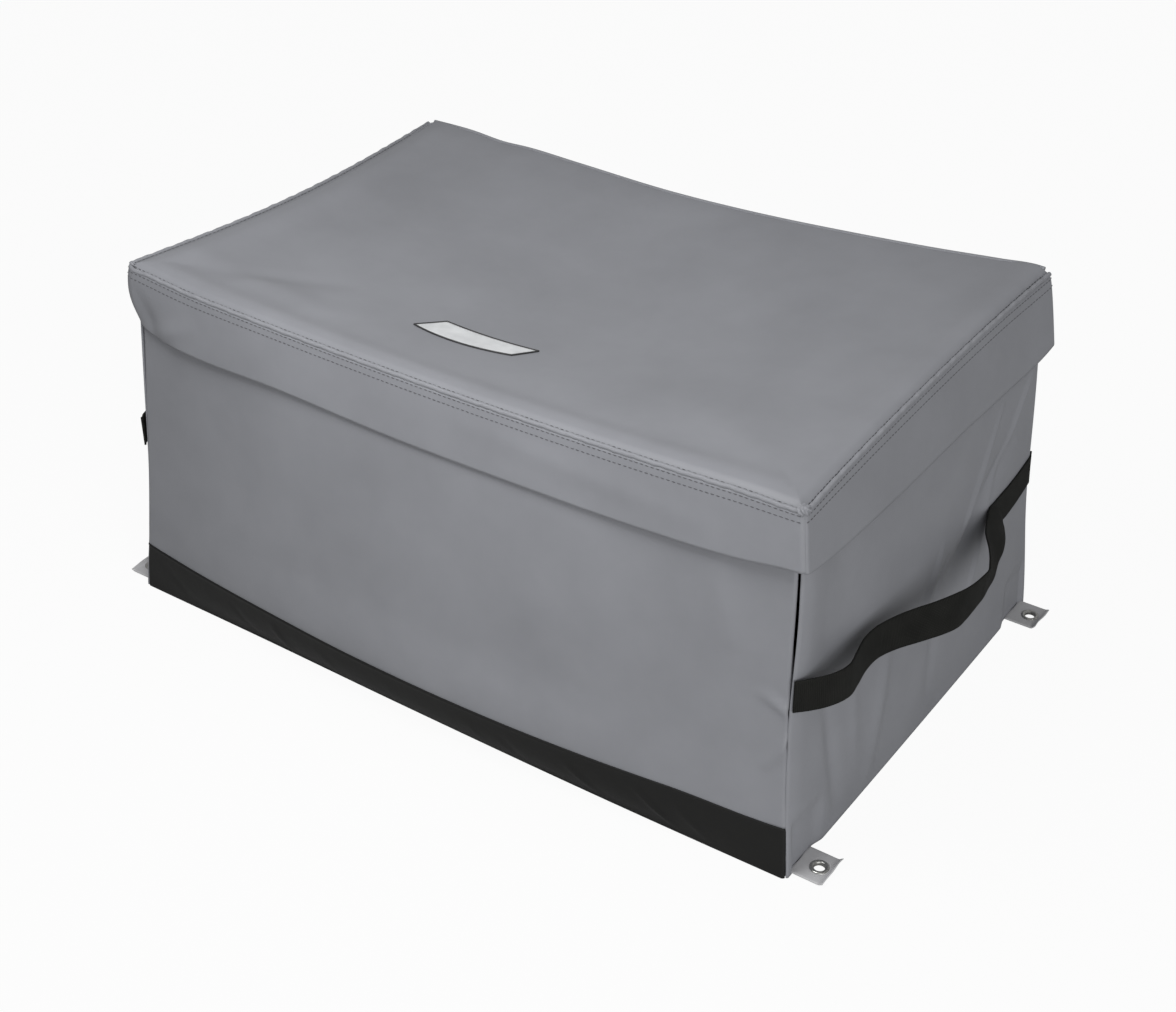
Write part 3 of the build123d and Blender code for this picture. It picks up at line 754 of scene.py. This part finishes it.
def end_skirt_place(side):
    def place(u, v):
        y_share, fall = 2 * u - 1, 1 - v
        edge_x, edge_y = lid_edge(side + 0 * u, y_share)
        front = eased(-y_share, 0.72, 1.0)
        past_end = corner_reach(front * (side < 0), fall)[0]
        past_front = corner_reach(side < 0, fall)[1]
        radius = corner_radius[side]
        top = lid_height(edge_x, edge_y) - seam_drop
        hem = drawn_through(end_hem_line, y_share * 0.285) + 0.002 * (side < 0)
        height = hem + (top - hem) * v
        reach = np.where(y_share < 0, lid_half_width + past_front - half_turn * radius,
                         lid_half_width - 0.0008 + 0.004 * fall)
        y = y_share * reach
        out = np.abs(edge_x) + past_end + end_skirt_bulge[side] * (1 - y_share**2) * fall**0.9
        out = out + back_corner_flare * eased(y_share, 0.55, 1.0) * fall**0.5 * (side > 0)
        out = out - np.where(y < 0, rolled_in(lid_half_width + past_front + y, radius), 0)
        out = out - fold_pinch * eased(-y, reach - 0.003, reach) * (y < 0)
        out = out - rolled_in(reach - y, 0.008) * 0.7 * (y > 0)
        return side * (out + ridge(y, height, (-0.23, 0.372), (0.15, 0.385), 0.0010, 0.010)), y, height
    return place


front_skirt = cut_cloth("front_skirt_cloth", front_skirt_place, grown(220), even(25), front_skirt_size, grey_cloth)
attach(front_skirt, "lid")
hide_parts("front_skirt")
for side, name in both_ends:
    skirt = cut_cloth(f"{name}_skirt_cloth", end_skirt_place(side), grown(170), even(25), end_skirt_size, grey_cloth,
                      turned=side < 0)
    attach(skirt, "lid")
    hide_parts(f"{name}_skirt")

# Topstitching in dark grey thread: a row in the groove inside the piping, and two
# rows near the top of each skirt that hold the seam allowance flat.
stitch_tree, stitch_in, stitch_curve = new_tree("stitches_along_a_seam")
stitch_pitch = tree_input(stitch_tree, "Stitch Pitch", "NodeSocketFloat", 0.0045)
stitch_length = tree_input(stitch_tree, "Stitch Length", "NodeSocketFloat", 0.0032)
thread_radius = tree_input(stitch_tree, "Thread Radius", "NodeSocketFloat", 0.00045)
stitch_thread = tree_input(stitch_tree, "Thread", "NodeSocketMaterial")
spaced = add_node(stitch_tree, "GeometryNodeResampleCurve", mode="LENGTH")
bead = add_node(stitch_tree, "GeometryNodeMeshUVSphere", Segments=6, Rings=4)
half_length_node = add_node(stitch_tree, "ShaderNodeMath", operation="MULTIPLY")
half_length_node.inputs[1].default_value = 0.5
bead_size = add_node(stitch_tree, "ShaderNodeCombineXYZ")
shaped = add_node(stitch_tree, "GeometryNodeTransform")
tangent = add_node(stitch_tree, "GeometryNodeInputTangent")
facing = add_node(stitch_tree, "FunctionNodeAlignRotationToVector", axis="X")
placed = add_node(stitch_tree, "GeometryNodeInstanceOnPoints")
real = add_node(stitch_tree, "GeometryNodeRealizeInstances")
wire(stitch_tree, (stitch_curve, "Curve"), (spaced, "Curve"),
     (stitch_in, "Stitch Pitch"), (spaced, "Length"),
     (stitch_in, "Stitch Length"), (half_length_node, 0),
     (half_length_node, 0), (bead_size, "X"),
     (stitch_in, "Thread Radius"), (bead_size, "Y"),
     (stitch_in, "Thread Radius"), (bead_size, "Z"),
     (bead, "Mesh"), (shaped, "Geometry"),
     (bead_size, "Vector"), (shaped, "Scale"),
     (shaped, "Geometry"), (placed, "Instance"),
     (spaced, "Curve"), (placed, "Points"),
     (tangent, "Tangent"), (facing, "Vector"),
     (facing, "Rotation"), (placed, "Rotation"),
     (placed, "Instances"), (real, "Geometry"))
end_tree(stitch_tree, stitch_in, (real, "Geometry"), "Thread")
thread_finish = flecked("grey_thread", 2200.0, (0.045, 0.046, 0.05), (0.10, 0.10, 0.11), roughness=0.6)[0]


def stitches(name, points):
    """A row of stitches along a line."""
    pitch = 0.0062
    return build_along(name, points, stitch_tree, {
        stitch_pitch: pitch, stitch_length: 0.76 * pitch, thread_radius: 0.00055, stitch_thread: thread_finish})


def on_skirt(place, drop):
    """Line along a skirt's face, the same share of its fall below its top all the way."""
    u = np.linspace(0.006, 0.994, 400)
    return np.stack(place(u, np.full_like(u, 1 - drop)), axis=1)


inner_gap = 0.0040
inner_slope = np.stack([np.gradient(seam_x), np.gradient(seam_y)])
inner_slope = inner_slope / np.linalg.norm(inner_slope, axis=0)
inner_x, inner_y = seam_x - inner_gap * inner_slope[1], seam_y + inner_gap * inner_slope[0]
inner_row = np.stack([inner_x, inner_y, lid_skin(inner_x, inner_y)], axis=1)
groove_stitches = stitches("lid_groove_stitches", inner_row[4:-4])
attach(groove_stitches, "lid")

stitch_rows = {"upper": 0.045, "lower": 0.150}
for face, place in (("front", front_skirt_place), ("right", end_skirt_place(1)), ("left", end_skirt_place(-1))):
    for row, drop in stitch_rows.items():
        thread = stitches(f"{face}_skirt_{row}_stitches", on_skirt(place, drop))
        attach(thread, "lid")

# Knots of the piping at the lid's front corners, where its ends are tucked under
# and sewn down: small puckered lumps of the same cloth.
for side, name in ((-1, "left"), (1, "right")):
    knot = bmesh.new()
    bmesh.ops.create_icosphere(knot, subdivisions=4, radius=1)
    size, sunk = (0.0064, 0.0026) if side > 0 else (0.0034, 0.0070)
    centre = Vector((side * (lid_half_length - sunk), -(lid_half_width - sunk),
                     float(lid_height(np.array(side * lid_half_length), np.array(-lid_half_width)))))
    for point in knot.verts:
        turn = math.atan2(point.co.y, point.co.x)
        pucker = 1 + 0.18 * math.sin(5 * turn + 5 * point.co.z) + 0.06 * math.sin(9 * turn)
        point.co = centre + Vector((size * point.co.x, size * point.co.y, 0.8 * size * point.co.z)) * pucker
    mesh = bpy.data.meshes.new(f"{name}_piping_knot")
    knot.to_mesh(mesh)
    knot.free()
    mesh.shade_smooth()
    mesh.materials.append(shaded_piping_cloth)
    lump = stand(f"{name}_piping_knot", mesh)
    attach(lump, "lid")

# Hook and loop tapes: a fuzzy strip sewn on each wall and a hooked one inside
# each skirt hold the lid shut.
tape_top = 0.3835
tape_width = 0.020
tape_share = 0.8
tape_gap = 0.0022


def pile_finish(name, kind, output, scale, dark, light, depth, roughness):
    """Finish of a tape, its low places between the loops or hooks painted dark as shade."""
    finish, shader = new_finish(name, roughness=roughness)
    pile = pattern(finish, kind, "Object", Scale=scale)
    wire(finish, tone(finish, (pile, output), dark, light, 0.2, 0.7), (shader, "Base Color"))
    relief(finish, shader, (pile, output), depth, 0.8)
    return finish


# The dark ends of these tapes' tones are painted shade between the loops and hooks.
loop_finish = pile_finish("loop_tape_pile", "Noise", "Fac", 1500.0,
                          (0.10, 0.10, 0.11), (0.21, 0.21, 0.23), 0.0008, 0.95)
hook_finish = pile_finish("hook_tape_moulding", "Voronoi", "Distance", 900.0,
                          (0.08, 0.08, 0.09), (0.19, 0.19, 0.20), 0.0007, 0.5)


def loop_place(face, side):
    def place(u, v):
        share = (2 * u - 1) * tape_share * 0.97
        height = tape_top - tape_width + tape_width * v
        if face == "front":
            x, out = front_face(share, height, 0.0012)
            return x, -(out + folded(x, height, front_fold_lines)), height
        y, out = end_face(share, height, 0.0012)
        return side * (out + folded(y, height, end_fold_lines)), y, height
    return place


def hook_place(face, side):
    def place(u, v):
        share = 0.5 + (u - 0.5) * tape_share
        height = tape_top - tape_width + tape_width * v
        hang = front_skirt_place if face == "front" else end_skirt_place(side)
        low, top = hang(share, np.zeros_like(u))[2], hang(share, np.ones_like(u))[2]
        x, y, _ = hang(share, (height - low) / (top - low))
        if face == "front":
            return x, y + tape_gap, height
        return x - side * tape_gap, y, height
    return place


for face, side, run in (("front", 0, 2 * lid_half_length), ("right", 1, 2 * lid_half_width),
                        ("left", -1, 2 * lid_half_width)):
    tape_size = (run * tape_share, tape_width)
    for kind, place, body, finish in (("loop", loop_place(face, side), "tub", loop_finish),
                                      ("hook", hook_place(face, side), "lid", hook_finish)):
        tape = cut_cloth(f"{face}_{kind}_tape_strip", place, even(91), even(5), tape_size, finish, thickness=0.0009,
                         turned=side < 0)
        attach(tape, body)
        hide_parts(f"{face}_{kind}_tape")

# Label patch: a bare woven patch with a dark bound edge, sewn on the lid near
# its front; it sags with the cloth under it.
label_size = (0.127, 0.036)
label_low = np.array(((-0.119, -0.157), (0.008, -0.148)))
label_top = np.array(((-0.100, -0.122), (0.022, -0.117)))
label_bow, label_lift = 0.0095, 0.0013


def label_at(u, v, lift):
    """Places on the label, between its low and its top corners, following the cloth under it."""
    low, top = (left[:, None] + (right - left)[:, None] * u for left, right in (label_low, label_top))
    x, y = low + (top - low) * v
    y = y - label_bow * (1 - (2 * u - 1) ** 2) * (1 - 0.7 * v)
    return x, y, lid_height(x, y) + label_lift + lift


label_finish, label_shader = flecked("bare_label_weave", 60.0, (0.50, 0.51, 0.52), (0.60, 0.61, 0.62), detail=3.0,
                                     roughness=0.55)
label_weave = pattern(label_finish, "Wave", "UV", bands_direction="Y", Scale=420.0, Distortion=0.6)
relief(label_finish, label_shader, (label_weave, "Fac"), 0.0001, 0.6)
label_patch = cut_cloth("bare_label_patch", lambda u, v: label_at(u, v, 0.0008), even(41), even(13), label_size,
                        label_finish, thickness=0.0008)
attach(label_patch, "lid")
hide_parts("label_patch")

edge = even(40)
around = [(edge, np.zeros(40)), (np.ones(40), edge), (1 - edge, np.ones(40)), (np.zeros(40), 1 - edge)]
binding_line = np.concatenate([np.stack(label_at(u, v, 0.0006), axis=1)[:-1] for u, v in around])
binding_line = np.concatenate([binding_line, binding_line[:1]])
binding_finish = flecked("dark_label_binding", 1500.0, (0.008, 0.008, 0.009), (0.03, 0.03, 0.03), roughness=0.6)[0]
binding = piping("label_binding", binding_line, 0.0011, binding_finish)
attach(binding, "lid")

# Lifting handles: 38 mm ribbed black webbing across each end, sewn into the
# corner seams and left slack, so that it lies on the wall near the corners and
# stands off in a small and a large loop between them.
webbing_width = 0.038
webbing_thickness = 0.0018
strap_line = (
    # along the wall, middle out from the box's centre, lean of its lower edge, height
    (-0.2835, 0.4462, 0.0000, 0.2230), (-0.2700, 0.4575, 0.0012, 0.2227), (-0.2450, 0.4725, 0.0012, 0.2215),
    (-0.2250, 0.4772, 0.0015, 0.2205), (-0.2030, 0.4740, 0.0020, 0.2195), (-0.1770, 0.4690, 0.0024, 0.2180),
    (-0.1450, 0.4685, 0.0024, 0.2150), (-0.1220, 0.4748, 0.0036, 0.2135), (-0.0900, 0.4890, 0.0074, 0.2120),
    (-0.0660, 0.4995, 0.0076, 0.2100), (-0.0480, 0.5055, 0.0064, 0.2085), (-0.0250, 0.5100, 0.0020, 0.2070),
    (0.0070, 0.5112, -0.0010, 0.2050), (0.0280, 0.5100, -0.0014, 0.2035), (0.0450, 0.5050, 0.0005, 0.2025),
    (0.0680, 0.4975, 0.0045, 0.2005), (0.1030, 0.4826, 0.0096, 0.1980), (0.1230, 0.4765, 0.0117, 0.1965),
    (0.1500, 0.4672, 0.0118, 0.1945), (0.1750, 0.4580, 0.0093, 0.1925), (0.2050, 0.4500, 0.0020, 0.1905),
    (0.2300, 0.4480, 0.0000, 0.1920), (0.2850, 0.4470, 0.0000, 0.1990))
strap_middle = 0.018
strap_clearance = 0.0004
left_slack = 0.25

webbing_finish, webbing_shader = new_finish("ribbed_black_webbing", roughness=0.7, gloss=0.15)
webbing_ribs = pattern(webbing_finish, "Wave", "UV", bands_direction="X", Scale=wave_scale(0.0021), Distortion=0.25)
webbing_threads = pattern(webbing_finish, "Wave", "UV", bands_direction="Y", Scale=wave_scale(0.0012))
webbing_cloud = pattern(webbing_finish, "Noise", "Object", Scale=45.0, Detail=4.0)
webbing_black = tone(webbing_finish, (webbing_cloud, "Fac"), (0.0085, 0.0088, 0.0075), (0.0135, 0.0138, 0.0120))
# The troughs between the ribs, which the bump sinks, are painted darker: painted shade in the rib grooves.
rib_groove_painted_shade = tone(webbing_finish, (webbing_ribs, "Fac"), (0.55, 0.55, 0.55), (1, 1, 1), 0.1, 0.6)
wire(webbing_finish, multiplied(webbing_finish, webbing_black, rib_groove_painted_shade), (webbing_shader, "Base Color"))
relief(webbing_finish, webbing_shader, (webbing_ribs, "Fac"), 0.0006, 0.9)
relief(webbing_finish, webbing_shader, (webbing_threads, "Fac"), 0.0002, 0.6)


def strap_place(side, start, end):
    """Places on a run of the handle's webbing, never inside the wall, and the run's length."""
    along = np.linspace(start, end, 500)
    out = drawn_through([(row[0], row[1]) for row in strap_line], along)
    run = np.concatenate([[0], np.cumsum(np.hypot(np.diff(along), np.diff(out)))])

    def place(u, v):
        y = np.interp(u * run[-1], run, along)
        middle, lean, height = (drawn_through([(row[0], row[k]) for row in strap_line], y) for k in (1, 2, 3))
        z = height + (v - 0.5) * np.sqrt(webbing_width**2 - 4 * lean**2)
        x = middle + lean * (1 - 2 * v)
        wall_share = y / (base_half_width - inset_at(z) - 0.001)
        wall = end_face(wall_share, z)[1] + folded(y, z, end_fold_lines)
        slack = 1.0 if side > 0 else left_slack + (1 - left_slack) * eased(y, -0.20, -0.05)
        skin = wall + webbing_thickness + strap_clearance
        return side * np.maximum(skin + (x - skin) * slack, skin), y, z
    return place, run[-1]


for side, name in both_ends:
    for part, start, end, far, nodes in (
            ("front", strap_line[0][0], strap_middle, -0.245, [f"{name}_handle_front_end", f"{name}_handle_grip"]),
            ("back", strap_middle, strap_line[-1][0], 0.225, [f"{name}_handle_back_end"])):
        place, length = strap_place(side, start, end)
        strap = cut_cloth(f"{name}_handle_{part}_webbing", place, even(181), even(13), (length, webbing_width),
                          webbing_finish, thickness=webbing_thickness, turned=side < 0)
        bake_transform(strap)
        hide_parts(*nodes)

# Tie-down tabs: folded strips of pale cloth sewn in at the foot of each corner,
# each with a plated metal grommet pressed through it.
tab_width, tab_depth = 0.045, 0.040
tab_low, tab_high = 0.00118, 0.00352
tab_hole_radius = 0.0071
tab_sway, tab_curl = 0.0009, 0.0034

tab_finish = woven_finish("pale_tab_cloth", (0.44, 0.44, 0.45), 0.0012, 0.6, mottle=0.12, depth=0.00015)
metal_finish = flecked("plated_grommet", 420.0, (0.26, 0.26, 0.25), (0.52, 0.52, 0.50), detail=4.0,
                       bump=(0.0001, 0.4), roughness=0.3, metallic=1.0)[0]
dress([f"{corner}_grommet" for corner in corners], metal_finish)

for number, corner in enumerate(corners):
    low_corner, high_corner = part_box(f"{corner}_tab")
    x_side = -1 if corner.endswith("left") else 1
    ring_low, ring_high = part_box(f"{corner}_grommet")
    hole = (Vector(ring_low) + Vector(ring_high)) / 2
    steps = even(21)[:-1]  # the next side of the rim starts with the last place
    x_near, x_far = (low_corner.x, high_corner.x) if x_side > 0 else (high_corner.x, low_corner.x)
    rim = ([(x_near, low_corner.y + tab_width * t) for t in steps]
           + [(x_near + (x_far - x_near) * t, high_corner.y) for t in steps]
           + [(x_far, high_corner.y - tab_width * t) for t in steps]
           + [(x_far + (x_near - x_far) * t, low_corner.y) for t in steps])
    rim = np.array(rim)
    if x_side < 0:
        rim = rim[::-1]
    turn = np.arctan2(rim[:, 1] - hole.y, rim[:, 0] - hole.x)
    ring = np.stack([hole.x + tab_hole_radius * np.cos(turn), hole.y + tab_hole_radius * np.sin(turn)], axis=1)
    layers = []
    for share, level in ((0, 0.0), (0, 1.0), (0.3, 1.0), (0.6, 1.0), (0.85, 1.0), (0.96, 0.97), (1.0, 0.72),
                         (1.0, 0.28), (0.96, 0.03), (0.6, 0.0), (0.3, 0.0)):
        place = ring + (rim - ring) * share
        sway = tab_sway * np.sin(place[:, 1] * 190 + number * 2.1) * eased(share, 0.8, 1.0)
        out = np.abs(place[:, 0] - x_near)
        curl = tab_curl * eased(out, 0.0345, 0.041) * (1 + 0.5 * np.sin(place[:, 1] * 70 + number))
        height = tab_low + (tab_high - tab_low) * level + curl
        layers.append(np.stack([place[:, 0] + sway * 0.5, place[:, 1], height], axis=1))
    count = len(rim)
    points = np.concatenate(layers)
    faces = []
    for row in range(len(layers)):
        after = (row + 1) % len(layers)
        for spot in range(count):
            following = (spot + 1) % count
            faces.append((row * count + spot, after * count + spot,
                          after * count + following, row * count + following))
    mesh = bpy.data.meshes.new(f"{corner}_tab_cloth")
    mesh.from_pydata(points.tolist(), [], faces)
    shape = bmesh.new()
    shape.from_mesh(mesh)
    bmesh.ops.recalc_face_normals(shape, faces=shape.faces)
    shape.to_mesh(mesh)
    shape.free()
    map_flat(mesh, points[:, :2])
    mesh.shade_smooth()
    mesh.materials.append(tab_finish)
    tab = stand(f"{corner}_tab_cloth", mesh)
    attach(tab, f"{corner}_tie_down")
    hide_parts(f"{corner}_tab")

# Studio: a pale sweep, a broad soft lamp at the front right, a small one
# overhead, and the camera at the photographed angle.
floor_reach = 30
camera_white_share = 0.95
sky_strength, sky_camera_more = 0.40, 0.60
floor_finish, floor_shader = new_finish("pale_studio_floor", roughness=0.9)
floor_shader.inputs["Base Color"].default_value = (0.50, 0.50, 0.50, 1)
floor_glow = add_node(floor_finish, "ShaderNodeEmission", Strength=1.0)
floor_mix = add_node(floor_finish, "ShaderNodeMixShader")
floor_path = add_node(floor_finish, "ShaderNodeLightPath")
floor_share = add_node(floor_finish, "ShaderNodeMath", operation="MULTIPLY")
floor_share.inputs[1].default_value = camera_white_share
floor_out = floor_finish.node_tree.nodes["Material Output"]
wire(floor_finish, (floor_path, "Is Camera Ray"), (floor_share, 0),
     (floor_share, 0), (floor_mix, "Fac"),
     (floor_shader, "BSDF"), (floor_mix, 1),
     (floor_glow, "Emission"), (floor_mix, 2),
     (floor_mix, "Shader"), (floor_out, "Surface"))
floor_mesh = bpy.data.meshes.new("studio_floor")
floor_mesh.from_pydata([(floor_reach * x, floor_reach * y, 0) for x, y in ((-1, -1), (1, -1), (1, 1), (-1, 1))], [],
                       [(0, 1, 2, 3)])
floor_mesh.materials.append(floor_finish)
studio_floor = stand("studio_floor", floor_mesh)

world = bpy.data.worlds.new("studio")
bpy.context.scene.world = world
world.use_nodes = True
sky = world.node_tree.nodes["Background"]
sky.inputs["Color"].default_value = (1, 1, 1, 1)
sky_path = add_node(world, "ShaderNodeLightPath")
sky_level = add_node(world, "ShaderNodeMath", operation="MULTIPLY_ADD")
sky_level.inputs[1].default_value = sky_camera_more
sky_level.inputs[2].default_value = sky_strength
wire(world, (sky_path, "Is Camera Ray"), (sky_level, 0), (sky_level, 0), (sky, "Strength"))


def soft_lamp(name, place, aim, size, power):
    light = bpy.data.lights.new(name, "AREA")
    light.shape = "SQUARE"
    light.size = size
    light.energy = power
    lamp = stand(name, light)
    lamp.location = place
    lamp.rotation_euler = (Vector(aim) - Vector(place)).to_track_quat("-Z", "Y").to_euler()
    lamp.visible_camera = False


soft_lamp("front_soft_lamp", (2.6, -2.0, 0.9), (0.05, -0.12, 0.3), 2.4, 62)
soft_lamp("top_soft_lamp", (0.0, -0.6, 1.25), (0.0, -0.12, 0.3), 0.5, 9.5)

camera = bpy.data.cameras.new("photo_view")
camera.sensor_width = 36
photo_width, focal_length = 1176, 1929.6  # both in pixels
camera.lens = camera.sensor_width * focal_length / photo_width
camera_turn, camera_tilt, camera_distance = math.radians(34.555), math.radians(33.232), 2.17573
camera_aim = Vector((0.08386, -0.11203, 0.220))
camera_back = Vector((math.sin(camera_turn) * math.cos(camera_tilt),
                      -math.cos(camera_turn) * math.cos(camera_tilt), math.sin(camera_tilt)))
eye = stand("photo_view", camera)
eye.location = camera_aim + camera_back * camera_distance
eye.rotation_euler = (-camera_back).to_track_quat("-Z", "Y").to_euler()
bpy.context.scene.camera = eye
bpy.context.scene.view_settings.view_transform = "Standard"
